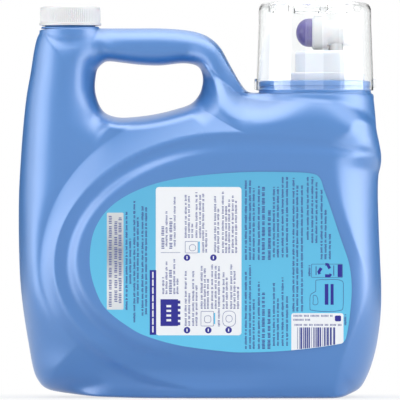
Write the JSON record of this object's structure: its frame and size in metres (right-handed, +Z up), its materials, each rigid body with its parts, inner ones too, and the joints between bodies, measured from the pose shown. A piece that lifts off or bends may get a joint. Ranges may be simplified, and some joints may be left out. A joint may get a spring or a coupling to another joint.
{
  "type": "fabric softener bottle",
  "caption": "Large blown plastic jug with a through handle, a screw vent cap, a press tap for dispensing on its side and a clear dosing cup over the tap.",
  "frame": {"origin": "on the table, at the middle of the jug's base", "axes": "+X right in front view towards the tap, +Y away from the viewer, +Z up"},
  "size_m": [0.2646, 0.1042, 0.2883],
  "materials": {
    "hdpe_blue": "satin",
    "cap_white": "satin",
    "liner_foam": "matte",
    "cup_clear": "gloss",
    "collar_white": "satin",
    "gasket_grey": "matte",
    "tap_white": "satin",
    "ring_white": "satin",
    "button_purple": "satin",
    "stem_white": "satin",
    "seal_grey": "matte",
    "label_blue": "satin"
  },
  "bodies": {
    "jug": {"bottle": "hdpe_blue", "tap_collar": "collar_white", "collar_gasket": "gasket_grey", "tap_body": "tap_white", "button_retainer": "ring_white", "back_label": "label_blue", "front_label": "label_blue"},
    "cap_liner": {"vent_cap_liner": "liner_foam"},
    "cap": {"vent_cap": "cap_white"},
    "cup": {"dosing_cup": "cup_clear"},
    "button": {"push_button": "button_purple", "valve_stem": "stem_white", "valve_seal": "seal_grey"}
  },
  "joints": [
    {"name": "vent_cap_lift", "type": "slide", "parent": "jug", "child": "cap_liner", "axis": [0, 0, 1], "range_m": [0, 0.045]},
    {"name": "vent_cap_turn", "type": "hinge", "parent": "cap_liner", "child": "cap", "pos_m": [-0.095, 0, 0.278], "axis": [0, 0, 1], "range_deg": [0, 450]},
    {"name": "dosing_cup_lift", "type": "slide", "parent": "jug", "child": "cup", "axis": [0, 0, 1], "range_m": [0, 0.1]},
    {"name": "button_press", "type": "slide", "parent": "jug", "child": "button", "axis": [1, 0, 0], "range_m": [0, 0.0045], "stiffness_N_per_m": 2500}
  ]
}
